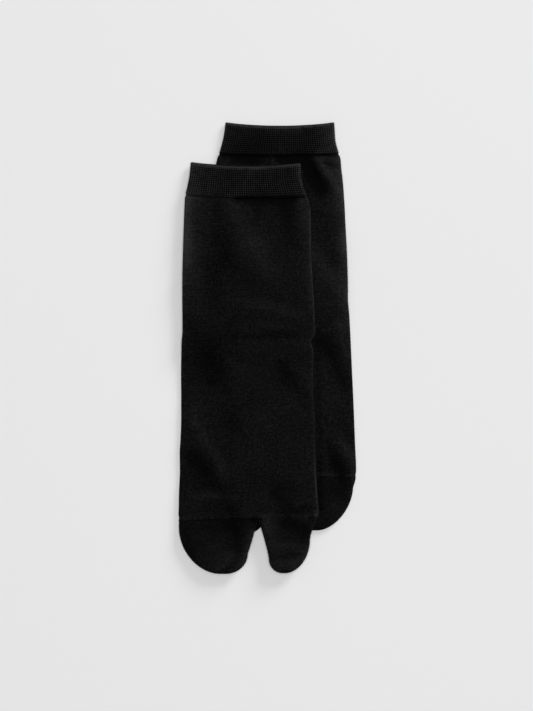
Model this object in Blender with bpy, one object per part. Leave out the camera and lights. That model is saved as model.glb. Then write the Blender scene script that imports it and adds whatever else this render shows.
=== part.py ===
"""A pair of tabi (split-toe) socks laid flat, the right sock lying partly over the left one.

Blender 4.5, metres, +Z up. The pair lies on z = 0 with its cuffs towards +Y and its toes towards -Y, and the
origin is under the middle of the whole pair. Each sock is a knitted tube pressed flat: a doubled ribbed cuff,
the leg and foot tube, a pocket for the big toe, a pocket for the other toes, and the heel pocket, which is
folded under the leg towards the cuff. Every piece is a hollow wall of cloth, 0.3 mm from what it is sewn to.
"""

from collections import namedtuple

import bmesh
import bpy
import numpy as np

MM = 0.001
TINY = 1e-6

# Thickness of the cloth, in mm
KNIT_WALL = 1.2  # plain knit of the leg, foot and toes
CUFF_WALL = 1.6  # ribbed, and folded double
HEEL_WALL = 1.05

# Heights of the flattened tubes, and the gaps between pieces, in mm
TUBE_FLAT = 3.4
CUFF_FLAT = 4.2
HEEL_FLAT = 2.6
SEAM_GAP = 0.3  # between two pieces that are sewn together
LIE_GAP = 0.6  # between cloth and the cloth it lies on

# Lengths along a sock, in mm below the top edge of its cuff
CUFF_DEEP = 24.4
HEEL_TIP = 97.0
HEEL_BASE = 131.0
SEAM_DOWN = 267.0  # the toe seam, on the sock's axis
SEAM_HALF_WIDTH = 50.0
SEAM_LEAN = 1.5  # the toe seam is this much higher at the big toe's side, and lower at the other
LEAN_FADES = 70.0
CUFF_SAG = 2.0  # the middle of the cuff's edges hangs this much lower than its corners
SAG_FADES = 70.0

# How the cloth gives way over what lies under it, in mm
HEEL_REACH = 5.0  # the tube stays lifted this far past its heel pocket
HEEL_SLOPE = 18.0  # and comes down again over this length
STEP_SLOPE = 21.0  # the upper sock comes down from the lower one's edge over this width
TOE_RISE = 1.6  # the tips of the upper sock's toes stand this much higher than its seam

# Straight edges in a flattened ring: round each side fold, and across each face of a tube and of a toe pocket
FOLD_EDGES = 4
TUBE_EDGES = 10
TOE_EDGES = 6
POCKET_STATIONS = 7
CLEFT_EASE = 1.4  # above 1, the cleft between the toes opens fastest at its top

BLACK_KNIT = (0.008, 0.008, 0.0085, 1.0)
BLACK_RIB = (0.010, 0.010, 0.0105, 1.0)

# Reach of the flattened tube to each side of the sock's axis, at a distance below the cuff's top edge
Section = namedtuple("Section", "down left right")
# One side of a pocket: a curve from the root that is straight by the turn, then a quarter ellipse to the tip
Side = namedtuple("Side", "root turn turn_down tip")
Pocket = namedtuple("Pocket", "left right tip_down")
# Height over the floor of the upper sock beside the lower one: at its own edge, and in the trough between
Beside = namedtuple("Beside", "down edge trough")
Sock = namedtuple("Sock", "name axis cuff_top big_side outline toes big_toe")
# One flattened ring: bow lowers its middle, and lean raises its right end
Ring = namedtuple("Ring", "down left right half_height bow lean")

RIGHT = Sock(
    name="right",
    axis=-14.6,
    cuff_top=138.6,
    big_side=1,
    outline=(
        Section(0, 42.3, 39.7),
        Section(12, 44.1, 40.4),
        Section(19, 45.6, 42.4),
        Section(24.4, 46.8, 44.7),
        Section(30, 47.1, 46.4),
        Section(50, 47.7, 47.7),
        Section(82, 49.2, 48.6),
        Section(119, 49.3, 50.0),
        Section(128, 49.2, 50.8),
        Section(134, 49.3, 49.4),
        Section(178, 50.0, 49.3),
        Section(208, 50.4, 49.5),
        Section(231, 50.6, 49.8),
        Section(259, 51.4, 52.8),
        Section(264.5, 51.6, 53.4),
        Section(SEAM_DOWN, 51.6, 52.2),
    ),
    toes=Pocket(Side(-51.6, -51.3, 272.5, -20.8), Side(7.2, 0.0, 292.5, -16.3), 307.5),
    big_toe=Pocket(Side(8.0, 16.2, 297.0, 26.3), Side(52.2, 45.6, 284.3, 27.5), 307.5),
)
LEFT = Sock(
    name="left",
    axis=12.7,
    cuff_top=168.9,
    big_side=-1,
    outline=(
        Section(0, 43.3, 37.0),
        Section(7, 45.0, 37.4),
        Section(15, 46.7, 38.1),
        Section(24.4, 49.4, 40.4),
        Section(31, 51.6, 42.0),
        Section(43, 52.7, 43.2),
        Section(81, 52.9, 45.5),
        Section(126, 51.0, 47.5),
        Section(133, 50.4, 47.2),
        Section(174, 49.5, 49.8),
        Section(208, 48.4, 51.4),
        Section(238, 47.2, 52.8),
        Section(260, 46.9, 53.5),
        Section(SEAM_DOWN, 46.9, 53.3),
    ),
    toes=Pocket(Side(-4.6, 2.8, 290.5, 18.9), Side(53.3, 50.8, 276.3, 22.5), 305.4),
    big_toe=Pocket(Side(-46.9, -43.0, 282.0, -27.5), Side(-5.4, -15.5, 296.2, -26.5), 306.3),
)
HEEL = Pocket(Side(-44.0, -37.0, 116.0, -12.0), Side(44.0, 37.0, 116.0, 12.0), HEEL_TIP)
UPPER_BESIDE_LOWER = (
    Beside(0, 3.0, 2.8),
    Beside(35, 4.6, 3.2),
    Beside(70, 4.8, 3.0),
    Beside(95, 2.6, 2.2),
    Beside(135, 2.2, 1.6),
    Beside(160, 0.0, 0.0),
    Beside(235, 0.0, 0.0),
    Beside(268, 2.2, 2.4),
    Beside(310, 3.8, 3.8),
)


def ease(share):
    """0 below 0, 1 above 1, and a smooth S between."""
    share = np.clip(share, 0.0, 1.0)
    return share * share * (3.0 - 2.0 * share)


def along(rows, column, down):
    """A smooth curve through one column of a table: cubic pieces that share their slope at each row."""
    at = np.array([row.down for row in rows], float)
    value = np.array([getattr(row, column) for row in rows], float)
    slope = np.gradient(value, at)
    i = np.clip(np.searchsorted(at, down) - 1, 0, len(at) - 2)
    step = at[i + 1] - at[i]
    t = np.clip((down - at[i]) / step, 0.0, 1.0)
    level = value[i] * (1 + 2 * t) * (1 - t) ** 2 + value[i + 1] * t * t * (3 - 2 * t)
    return level + step * (slope[i] * t * (1 - t) ** 2 - slope[i + 1] * t * t * (1 - t))


def heel_lift(sock, y):
    """How far a tube is lifted by its own heel pocket: a plateau that slopes off at both ends."""
    down = sock.cuff_top - y
    toward_cuff = ease((down - HEEL_TIP + HEEL_REACH + HEEL_SLOPE) / HEEL_SLOPE)
    toward_toe = ease((HEEL_BASE + HEEL_REACH + HEEL_SLOPE - down) / HEEL_SLOPE)
    return (HEEL_FLAT + LIE_GAP) * toward_cuff * toward_toe


def ground(sock, x, y):
    """Height of what a sock lies on: the floor, or for the right sock the left one's top and then the floor."""
    if sock is LEFT:
        return np.zeros_like(x)
    down = sock.cuff_top - y
    lower_top = heel_lift(LEFT, y) + TUBE_FLAT + LIE_GAP
    lower_edge = LEFT.axis - along(LEFT.outline, "left", LEFT.cuff_top - y)
    toward_edge = np.clip((lower_edge - STEP_SLOPE - x) / STEP_SLOPE, 0.0, 1.0) ** 2
    edge, trough = (along(UPPER_BESIDE_LOWER, column, down) for column in ("edge", "trough"))
    beside = np.maximum(trough + (edge - trough) * toward_edge, 0.0)
    onto_lower = ease((x - lower_edge + STEP_SLOPE) / STEP_SLOPE)
    tips_up = TOE_RISE * ease((down - SEAM_DOWN) / (RIGHT.toes.tip_down - SEAM_DOWN))
    return beside + (lower_top - beside) * onto_lower + tips_up


def tube_ground(sock, x, y):
    """Height of the underside of a sock's tube and toes."""
    return ground(sock, x, y) + heel_lift(sock, y)


def ring_pattern(face_edges):
    """One turn round a flattened ring: columns flat (-1 to 1 across a face), out (into a side fold) and up."""
    across = np.linspace(-1.0, 1.0, face_edges + 1)
    turn = np.linspace(0.0, np.pi, FOLD_EDGES + 1)[1:-1]
    top = np.column_stack([across, np.zeros_like(across), np.ones_like(across)])
    right = np.column_stack([np.ones_like(turn), np.sin(turn), np.cos(turn)])
    return np.concatenate([top, right, top * (-1, 1, -1), right * (-1, -1, -1)])


def ring_points(sock, ring, pattern, rests_on, flat_height):
    """Points of one flattened ring, round its middle line, which follows what the piece rests on."""
    flat, out, up = pattern.T
    half_width = (ring.right - ring.left) / 2
    fold = min(ring.half_height, half_width)
    reach = flat * (half_width - fold) + out * fold
    across = (ring.left + ring.right) / 2 + reach
    bow = ring.bow * (1 - (reach / max(half_width, TINY)) ** 2)
    down = ring.down + bow - ring.lean * across / SEAM_HALF_WIDTH
    x, y = sock.axis + across, sock.cuff_top - down
    return np.column_stack([x, y, rests_on(sock, x, y) + flat_height / 2 + up * ring.half_height])


def tube_rings(sock, stations, flat_height, inset):
    """Rings of an open length of the flattened sock, inset from its outer face."""
    rings = []
    for down in stations:
        left = inset - along(sock.outline, "left", down)
        right = along(sock.outline, "right", down) - inset
        bow = CUFF_SAG * ease(1.0 - down / SAG_FADES)
        lean = SEAM_LEAN * sock.big_side * ease((down - SEAM_DOWN + LEAN_FADES) / LEAN_FADES)
        rings.append(Ring(down, left, right, flat_height / 2 - inset, bow, lean))
    return rings


def side_at(side, down, root_down, tip_down, inset):
    """Where a pocket's side is at a distance down. inset moves it inwards, and its tip back as much."""
    inward = np.sign(side.tip - side.turn) * inset
    round_length = abs(tip_down - side.turn_down)
    past_turn = (down - side.turn_down) / (tip_down - side.turn_down)
    if past_turn <= 0:
        to_root = (down - side.turn_down) / (root_down - side.turn_down)
        return side.turn + (side.root - side.turn) * to_root**CLEFT_EASE + inward
    past_turn = min(past_turn * round_length / (round_length - inset), 1.0)
    return side.tip + (side.turn + inward - side.tip) * np.sqrt(1 - past_turn**2)


def pocket_rings(shape, root_down, lean, flat_height, inset):
    """Rings of a pocket from its open root to its rounded, closed tip, where they shrink to a point."""
    tip_down = shape.tip_down - np.sign(shape.tip_down - root_down) * inset
    full = flat_height / 2 - inset
    rings = []
    for turn in np.linspace(0.0, np.pi / 2, POCKET_STATIONS + 1):
        down = root_down + (tip_down - root_down) * np.sin(turn)
        from_tip = abs(tip_down - down)
        left = side_at(shape.left, down, root_down, shape.tip_down, inset)
        right = side_at(shape.right, down, root_down, shape.tip_down, inset)
        half_height = np.sqrt(full**2 - (full - min(from_tip, full)) ** 2)
        lean_left = lean * (from_tip / abs(tip_down - root_down)) ** 2
        rings.append(Ring(down, left, right, half_height, 0.0, lean_left))
    return rings


def wall(name, sock, skins, closed_end, face_edges, rests_on, flat_height, finish, parent):
    """A wall of cloth between an outer and an inner lofted skin. closed_end keeps them apart at the last ring."""
    pattern = ring_pattern(face_edges)
    outer, inner = (
        np.array([ring_points(sock, ring, pattern, rests_on, flat_height) for ring in rings])
        for rings in skins
    )
    rings = np.concatenate([outer, inner[::-1]])
    index = np.arange(rings.shape[0] * rings.shape[1]).reshape(rings.shape[:2])
    onward = np.roll(index, -1, axis=0)
    corners = index, onward, np.roll(onward, -1, axis=1), np.roll(index, -1, axis=1)
    quads = np.stack(corners, axis=-1)
    if closed_end:
        quads = np.delete(quads, len(outer) - 1, axis=0)
    points = rings.reshape(-1, 3) * MM - np.array(parent.location)
    mesh = bpy.data.meshes.new(name)
    mesh.from_pydata(points.tolist(), [], quads.reshape(-1, 4).tolist())
    shape = bmesh.new()
    shape.from_mesh(mesh)
    bmesh.ops.remove_doubles(shape, verts=shape.verts, dist=2e-6)
    bmesh.ops.recalc_face_normals(shape, faces=shape.faces)
    shape.to_mesh(mesh)
    shape.free()
    mesh.shade_smooth()
    mesh.materials.append(finish)
    piece = bpy.data.objects.new(name, mesh)
    piece.parent = parent
    parent.users_collection[0].objects.link(piece)


def tube(part, sock, stations, flat_height, thick, finish, parent):
    skins = [tube_rings(sock, stations, flat_height, inset) for inset in (0.0, thick)]
    wall(f"{sock.name}_{part}", sock, skins, False, TUBE_EDGES, tube_ground, flat_height, finish, parent)


def toe_pocket(part, sock, shape, finish, parent):
    lean = SEAM_LEAN * sock.big_side
    skins = [
        pocket_rings(shape, SEAM_DOWN + SEAM_GAP / 2, lean, TUBE_FLAT, inset) for inset in (0.0, KNIT_WALL)
    ]
    wall(f"{sock.name}_{part}", sock, skins, True, TOE_EDGES, tube_ground, TUBE_FLAT, finish, parent)


def heel_pocket(sock, finish, parent):
    skins = [pocket_rings(HEEL, HEEL_BASE, 0.0, HEEL_FLAT, inset) for inset in (0.0, HEEL_WALL)]
    wall(f"{sock.name}_heel", sock, skins, True, TUBE_EDGES, ground, HEEL_FLAT, finish, parent)


def leg_stations():
    """Rings of the leg and foot: closest where the tube climbs over its heel pocket, and at its two seams."""
    lifts, lifted = HEEL_TIP - HEEL_REACH - HEEL_SLOPE, HEEL_TIP - HEEL_REACH
    lowers, lowered = HEEL_BASE + HEEL_REACH, HEEL_BASE + HEEL_REACH + HEEL_SLOPE
    return np.concatenate(
        [
            (CUFF_DEEP + SEAM_GAP / 2, 28.0, 34.0, 48.0, 62.0),
            np.linspace(lifts, lifted, 4),
            np.linspace(lifted, lowers, 5)[1:],
            np.linspace(lowers, lowered, 4)[1:],
            (175.0, 210.0, 240.0, 252.0, 260.0, 264.5, SEAM_DOWN - SEAM_GAP / 2),
        ]
    )


def material(name, colour, roughness):
    made = bpy.data.materials.new(name)
    made.use_nodes = True
    shader = made.node_tree.nodes["Principled BSDF"]
    shader.inputs["Base Color"].default_value = colour
    shader.inputs["Roughness"].default_value = roughness
    shader.inputs["Metallic"].default_value = 0.0
    return made


def make_sock(sock, plain, rib, collection):
    """The five pieces of one sock, under an empty at the middle of its cuff's top edge."""
    parent = bpy.data.objects.new(f"{sock.name}_sock", None)
    parent.location = (sock.axis * MM, sock.cuff_top * MM, 0.0)
    collection.objects.link(parent)
    tube("cuff", sock, np.linspace(0.0, CUFF_DEEP - SEAM_GAP / 2, 5), CUFF_FLAT, CUFF_WALL, rib, parent)
    tube("leg_foot", sock, leg_stations(), TUBE_FLAT, KNIT_WALL, plain, parent)
    toe_pocket("toes", sock, sock.toes, plain, parent)
    toe_pocket("big_toe", sock, sock.big_toe, plain, parent)
    heel_pocket(sock, plain, parent)


def main():
    for old in list(bpy.data.objects):
        bpy.data.objects.remove(old)
    collection = bpy.data.collections.new("tabi_socks")
    bpy.context.scene.collection.children.link(collection)
    plain = material("black_plain_knit", BLACK_KNIT, 0.9)
    rib = material("black_ribbed_knit", BLACK_RIB, 0.85)
    for sock in (LEFT, RIGHT):
        make_sock(sock, plain, rib, collection)


main()
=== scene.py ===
"""The looks of a pair of black knitted tabi (split-toe) socks that lie flat, the right one over the left one.

Lengths are in mm until a mesh is made. A sock's own measures are "across", from its axis towards +X, and
"down", from the top edge of its cuff towards its toes.
"""

from collections import namedtuple

import bmesh
import bpy
import numpy as np
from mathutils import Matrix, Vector


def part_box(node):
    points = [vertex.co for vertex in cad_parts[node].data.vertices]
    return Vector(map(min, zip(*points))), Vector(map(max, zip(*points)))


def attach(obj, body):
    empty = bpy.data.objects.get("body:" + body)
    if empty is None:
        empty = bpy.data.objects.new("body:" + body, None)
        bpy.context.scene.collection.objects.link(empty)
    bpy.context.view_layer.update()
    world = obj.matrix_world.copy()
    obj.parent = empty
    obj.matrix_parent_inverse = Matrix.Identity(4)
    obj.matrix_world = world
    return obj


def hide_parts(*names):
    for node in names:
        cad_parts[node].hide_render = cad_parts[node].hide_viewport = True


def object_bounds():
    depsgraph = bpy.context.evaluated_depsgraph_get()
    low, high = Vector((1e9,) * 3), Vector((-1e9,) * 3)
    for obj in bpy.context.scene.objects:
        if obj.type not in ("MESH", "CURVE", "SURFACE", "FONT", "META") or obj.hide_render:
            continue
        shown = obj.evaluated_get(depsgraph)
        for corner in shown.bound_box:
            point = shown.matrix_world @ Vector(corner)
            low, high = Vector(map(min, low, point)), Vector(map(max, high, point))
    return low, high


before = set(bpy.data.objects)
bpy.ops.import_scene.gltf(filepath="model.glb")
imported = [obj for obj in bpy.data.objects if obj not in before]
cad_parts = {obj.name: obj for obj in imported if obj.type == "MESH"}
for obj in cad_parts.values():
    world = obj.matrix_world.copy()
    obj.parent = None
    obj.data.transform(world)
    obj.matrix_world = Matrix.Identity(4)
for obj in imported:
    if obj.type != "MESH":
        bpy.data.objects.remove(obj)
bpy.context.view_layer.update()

MM = 0.001

# The cuff: a one-by-one rib, folded double
RIBS_ROUND = 104
POINTS_A_RIB = 5
CAD_CUFF_DEEP = 24.4
CUFF_PLY = 1.5
CUFF_EDGE = 3.6
CUFF_FACE_SHARE = 0.962
RIB_PROUD = 0.62
RIB_POWER = 0.8
RIB_BETWEEN_ROWS = 0.15
ROW_LONG = 1.56
# Painted light and shade of the ribs: how much paler the rib tops are painted, and how much darker the
# hollows
RIB_SHADE_TONE = 4.4
RIB_SHADE_LESS = 1.35
# A painted highlight along the folded rim of the cuff: how bright, how far down, how wide
RIM_HIGHLIGHT = 3.7
RIM_DOWN = 0.6
RIM_WIDE = 1.3

# The plain knit
KNIT_PLY = 1.1
KNIT_EDGE = 2.7
WALES_ROUND = 164
COURSE_LONG = 1.0
POCKET_FUZZ = 0.85
POCKET_TONE = -0.18
# Painted shade of small gathers under each rib of the cuff: the course where it starts, how fast it fades,
# how dark it is
GATHERS_FROM = 24.6
GATHERS_FADE = 0.4
GATHER_SHADE = 0.28
TUCK_IN_CUFF = 0.5
TUCK_IN_SEAM = 0.8
TOE_ROOT_GAP = 0.1
SEAM_BEAD = 0.5
SEAM_BEAD_UP = 3.8
SEAM_BEAD_WIDE = 2.0
# Painted highlight on the seam bead, and painted shade in the seam grooves of the tube and of the pockets
SEAM_BEAD_HIGHLIGHT = 0.6
GROOVE_SHADE = 0.5
POCKET_GROOVE_SHADE = 0.3

# Lengths down a sock
HEEL_TIP = 97.0
HEEL_BASE = 131.0
HEEL_THICK = 2.5
HEEL_PLY = 1.0
SEAM_DOWN = 267.0
SEAM_HALF_WIDTH = 50.0
SEAM_LEAN = 1.5
SEAM_ARCH = 1.1
SEAM_FADES = 70.0
MOUTH_FADES = 9.0

# How the tubes give way over what lies under them
HEEL_REACH = 5.0
HEEL_SLOPE = 18.0
LIE_GAP = 0.15
STEP_OUT = 14.0
STEP_IN = 18.0
BESIDE_FROM = 30.0
BESIDE_WIDE = 18.0
PAST_TOES = 18.0
PAST_TOES_LONG = 32.0
TOE_FLOOR = 3.6
TOE_FLOOR_RISE = 1.1
TOE_FLOOR_FROM = 268.0
TOE_FLOOR_LONG = 38.0

# The cloth's relief: how high creases are at their ends, the waves that make it uneven, and how much painted
# light (on ridges) and painted shade (in troughs) a mm of relief gives
CREASE_ENDS = 0.4
UNEVEN_LENGTHS = (46, 37, 29, 23, 19, 15, 12, 10, 8.5, 7)
UNEVEN_HIGH = 0.00095
UNEVEN_POWER = 1.4
UPPER_SEED = 11
UNDER_SEED = 23
UNDER_MOST = 1.2
RELIEF_SHADE = 0.45

# A pocket's ends: how long its rounded tip is in thicknesses, and how far the underside rises at its root
TIP_ROUND = 0.9
ROOT_RISE = 0.85

# The colour of the cloth, from its darkest to its palest lint, and how light each knit is between them
PLAIN_DARK = (0.0003, 0.0003, 0.0003)
PLAIN_PALE = (0.0240, 0.0240, 0.0243)
PLAIN_LIGHT = 0.366
RIB_LIGHT = 0.38
LEVEL = 0.21

# How much each unevenness counts, in the light of a knit and in its bump
# In PLAIN_MIX, stitch puts painted shade in the gaps between stitches and painted light on their tops
PLAIN_MIX = {"streaks": 0.12, "lint": 0.3, "yarn": 0.72, "stitch": 0.06, "wales": 0.22, "courses": 0.38}
PLAIN_BUMP = {"stitch": 0.4, "lint": 0.7, "streaks": 0.4}
RIB_MIX = {"mottle": 0.12, "grain": 0.32, "lint": 0.8, "twist": -0.06}
RIB_BUMP = {"lint": 0.8, "twist": -0.5}
CLOTH = {"Specular_IOR_Level": 0.02, "Sheen_Weight": 0.03, "Sheen_Roughness": 0.35}

# The painted highlight band and line along a side fold: their widths in mm
HIGHLIGHT_BAND = 5.0
HIGHLIGHT_LINE = 1.1

# The studio: lengths in metres, angles in degrees, and the lens and the sensor in mm
LENS = 200.0
SENSOR = 36.0
VIEW_HIGH = 0.5325
VIEW_LEFT = 0.0006
VIEW_BELOW = 0.0056
AMBIENT = 0.205
FLOOR_LOOKS = 0.81
FLOOR_HALF = 4.0
FLOOR_DARK = (0.82, 0.82, 0.82, 1)
FLOOR_PALE = (0.84, 0.84, 0.84, 1)
LAMP_AWAY = 6.0
CEILING_POWER = 212.0
CEILING_SIZE = 3.0
WINDOW_POWER = 222.0
WINDOW_SIZE = 2.4
WINDOW_AZIMUTH = 50.0
WINDOW_ELEVATION = 20.0

# Tables that run down a sock: its outline, its fullness, its gap beside the sock below, its painted
# highlights at the folds
Section = namedtuple("Section", "down left right")
Puff = namedtuple("Puff", "down crown")
Beside = namedtuple("Beside", "down edge trough")
Edges = namedtuple("Edges", "down left_band left_line right_band right_line")

# A pocket: the way each side runs (see side_at), its seam's groove, how its kind is knitted, and its cut
Side = namedtuple("Side", "root turn turn_down tip taper fullness", defaults=(1.0, 2.0))
Pocket = namedtuple("Pocket", "left right tip_down crown")
Groove = namedtuple("Groove", "deep long")
Kind = namedtuple("Kind", "on_seam edge ply rests_on root_round groove steps_round held")
Cut = namedtuple("Cut", "wales wide long area")

# Soft strokes from one point to another: a ridge or a trough of the cloth, and a patch of painted light and
# shade
Crease = namedtuple("Crease", "across down to_across to_down wide high")
Brushed = namedtuple("Brushed", "across down to_across to_down wide light")

# A whole sock. big_side is 1 where the big toe is towards +X
Sock = namedtuple(
    "Sock",
    "name big_side cuff_deep cuff_tilt cuff_sag sag_fades mouth_sag rib_contrast seam_down"
    " outline toes big_toe creases under_creases brushed edges",
)

CUFF_GROOVE = Groove(1.5, 3.4)
SEAM_GROOVE = Groove(1.3, 2.6)
PUFFS = (
    Puff(0, 0.4),
    Puff(24, 0.4),
    Puff(34, 1.2),
    Puff(120, 1.4),
    Puff(200, 1.6),
    Puff(250, 1.8),
    Puff(267, 1.4),
    Puff(300, 1.6),
)

RIGHT = Sock(
    name="right",
    big_side=1,
    cuff_deep=24.2,
    cuff_tilt=0.6,
    cuff_sag=2.1,
    sag_fades=70.0,
    mouth_sag=1.1,
    rib_contrast=1.0,
    seam_down=267.4,
    outline=(
        Section(0, 42.8, 39.7),
        Section(12, 44.1, 40.2),
        Section(19, 45.5, 42.0),
        Section(24.4, 46.8, 44.2),
        Section(30, 47.2, 45.9),
        Section(50, 48.0, 47.2),
        Section(65, 48.5, 47.2),
        Section(80, 48.9, 47.9),
        Section(90, 49.0, 48.5),
        Section(106, 49.0, 49.5),
        Section(121, 48.9, 50.2),
        Section(128, 49.0, 50.4),
        Section(133, 49.5, 47.5),
        Section(140, 49.7, 48.8),
        Section(152, 50.0, 48.7),
        Section(178, 49.9, 49.0),
        Section(196, 50.0, 50.3),
        Section(208, 50.5, 50.2),
        Section(214, 50.9, 50.3),
        Section(231, 50.9, 50.9),
        Section(248, 51.6, 51.8),
        Section(259, 51.8, 52.6),
        Section(264.5, 52.0, 53.3),
        Section(SEAM_DOWN, 52.0, 52.2),
    ),
    toes=Pocket(
        left=Side(-52.0, -51.6, 272.0, -20.8, 1.0, 1.93),
        right=Side(7.5, 0.0, 292.5, -16.3, 0.9),
        tip_down=307.5,
        crown=1.8,
    ),
    big_toe=Pocket(
        left=Side(7.6, 15.8, 297.0, 26.3, 1.25),
        right=Side(52.2, 46.5, 282.5, 27.5, 1.5, 1.94),
        tip_down=307.0,
        crown=1.6,
    ),
    creases=(
        Crease(-14, 30, 16, 80, 8, 0.65),
        Crease(-24, 30, -19, 58, 8, -0.4),
        Crease(26, 30, 31, 56, 7, -0.8),
        Crease(-14, 74, 2, 90, 8, -0.4),
        Crease(2, 107, 22, 109, 4.5, 0.45),
        Crease(20, 109, 44, 117, 5, 0.4),
        Crease(3, 129, 37, 129, 3.4, -0.8),
        Crease(7, 133, 26, 132.6, 2.4, 0.4),
        Crease(-44, 126, -18, 166, 11, -0.65),
        Crease(24, 151, 40, 176, 6, -0.65),
        Crease(-44, 217, -28, 232, 6.5, -1.0),
        Crease(-40, 195, -20, 228, 5, 0.75),
        Crease(-30, 233, -18, 250, 5, -0.6),
        Crease(20, 241, 38, 244, 6, -0.7),
        Crease(22, 252, 33, 262, 5, -0.5),
        Crease(-49, 250, -14, 250.5, 3, 0.4),
        Crease(-46, 273, -12, 271, 6, -0.4),
        Crease(26, 269, 40, 274, 5, -0.7),
        Crease(8, 270, 20, 282, 6, 0.6),
        Crease(49.5, 262, 52, 265.5, 2, 0.5),
        Crease(12, 298, 30, 299, 6, 0.5),
    ),
    under_creases=(
        Crease(-38, 60, -10, 82, 9, 0.8),
        Crease(6, 90, 34, 84, 7, 0.7),
        Crease(-30, 178, 8, 190, 8, 0.9),
        Crease(16, 214, 40, 236, 9, 0.8),
    ),
    # Patches of painted light (positive) and painted shade (negative)
    brushed=(
        Brushed(-40, 2, -40, 22, 20, 0.8),
        Brushed(-20, 5, 4, 5, 4, 0.3),
        Brushed(14, 8, 32, 8, 5, -0.15),
        Brushed(-46, 26, -45, 72, 6, 1.0),
        Brushed(-42, 60, -42, 100, 7, 0.4),
        Brushed(-40, 84, -38, 108, 7, 0.25),
        Brushed(-8, 27.5, 34, 28, 3, -0.9),
        Brushed(-8, 26.6, 38, 26.8, 1.5, -0.9),
        Brushed(38, 27.5, 42, 42, 4, 0.5),
        Brushed(-45, 25.6, -8, 25.6, 1.6, 0.8),
        Brushed(-24, 34, -20, 62, 7, -0.3),
        Brushed(28, 32, 30, 55, 6, -0.5),
        Brushed(4, 30, 8, 37, 4, -0.4),
        Brushed(4, 30, 32, 32, 4, -0.3),
        Brushed(-12, 32, 16, 80, 7, 0.4),
        Brushed(-15, 73, 4, 90, 7, -0.35),
        Brushed(-26, 110, -30, 175, 10, -0.2),
        Brushed(-18, 110, 2, 108, 5, 0.2),
        Brushed(-20, 118, 4, 115, 4.5, 0.3),
        Brushed(24, 102, 40, 106, 4, -0.25),
        Brushed(18, 146, 32, 143, 5, 0.3),
        Brushed(-17, 142, -10, 152, 5, 0.25),
        Brushed(-10, 132, 20, 131, 4, -0.2),
        Brushed(-32, 66, -24, 68, 4, 0.2),
        Brushed(0, 105, 16, 107, 3.5, 0.3),
        Brushed(14, 108, 38, 114, 5, 0.35),
        Brushed(-12, 130, 36, 129, 2.5, -0.35),
        Brushed(-44, 126, -20, 165, 9, -0.35),
        Brushed(25, 152, 44, 178, 5, -0.35),
        Brushed(26, 150, 28, 166, 4.5, -0.4),
        Brushed(-42, 170, -39, 194, 4, 0.3),
        Brushed(-16, 58, -2, 62, 8, 0.3),
        Brushed(-44, 219, -32, 230, 6.5, -0.7),
        Brushed(-32, 233, -22, 243, 5, -0.15),
        Brushed(-40, 196, -20, 228, 4.5, 0.35),
        Brushed(-30, 233, -18, 250, 4, -0.3),
        Brushed(20, 240, 34, 244, 5, -0.3),
        Brushed(21, 250, 31, 262, 6, -0.55),
        Brushed(-30, 256, -12, 258, 5, -0.4),
        Brushed(-12, 258, 10, 260, 5, -0.3),
        Brushed(20, 246, 26, 250, 5, -0.3),
        Brushed(-30, 248, -12, 250, 4, 0.2),
        Brushed(-10, 192, -2, 206, 5, -0.25),
        Brushed(28, 269, 42, 273, 4.5, -0.6),
        Brushed(40, 276, 44, 284, 4, -0.4),
        Brushed(-46, 272, -14, 270, 5, -0.25),
        Brushed(-10, 268, 6, 268, 5, -0.7),
        Brushed(5, 266, 8, 270, 3, -0.9),
        Brushed(-8, 272, -10, 286, 4, -0.4),
        Brushed(-47, 276, -44, 292, 4, -0.4),
        Brushed(12, 268, 20, 286, 6, 0.9),
        Brushed(50.5, 261.5, 52, 264, 1.8, 1.0),
        Brushed(10, 285, 34, 285, 2.5, 0.3),
        Brushed(16, 300, 30, 300, 8, 0.9),
        Brushed(26, 294, 42, 293, 2.0, -0.5),
        Brushed(-26, 288, -14, 287, 6, 0.4),
        Brushed(-36, 298, -16, 298, 7, 0.3),
        Brushed(-12, 274, -5, 277, 4, -0.4),
        Brushed(27, 286, 38, 287, 3.5, 0.5),
        Brushed(19, 280, 26, 283, 4, -0.35),
        Brushed(18, 295, 26, 296, 4, -0.25),
        Brushed(14, 270, 22, 271, 3, 0.3),
        Brushed(12, 266, 44, 265.6, 1.3, 0.8),
        Brushed(-22, 304, -13, 294, 3.5, 0.6),
        Brushed(34, 302, 42, 292, 4, 0.6),
        Brushed(3, 276, -3.5, 300, 2.4, 1.1),
        Brushed(-4, 300, -12, 305, 2.4, 0.7),
        Brushed(-8, 275, -7, 288, 3.5, -0.4),
        Brushed(-8, 253, 3, 261, 6, 0.4),
        Brushed(-38, 242, -28, 243, 4, -0.4),
        Brushed(-46, 198, -38, 203, 4, -0.25),
        Brushed(-14, 287, -9, 288, 4.5, -0.4),
        Brushed(46, 283, 42, 297, 3, 0.9),
        Brushed(42, 259, 46, 260, 4, -0.5),
        Brushed(-44, 268.6, -24, 268.6, 1.2, 0.35),
        Brushed(-36, 240, -26, 242, 5, -0.3),
        Brushed(39.5, 4, 41.5, 22, 1.6, 0.5),
    ),
    # Painted highlights along the left and right folds: a band and a fine line
    edges=(
        Edges(0, 0.5, 0.6, 1.0, 1.4),
        Edges(20, 0.8, 0.6, 0.8, 1.2),
        Edges(50, 1.2, 1.0, 0.9, 1.4),
        Edges(90, 0.7, 1.2, 0.8, 1.5),
        Edges(130, 0.1, 1.0, 0.4, 1.2),
        Edges(200, 0.1, 0.4, 0.2, 1.0),
        Edges(262, 0.0, 0.1, 0.2, 1.5),
        Edges(270, 0.0, 0.1, 0.0, 0.6),
        Edges(300, 0.1, 0.9, 0.2, 1.6),
    ),
)
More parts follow.
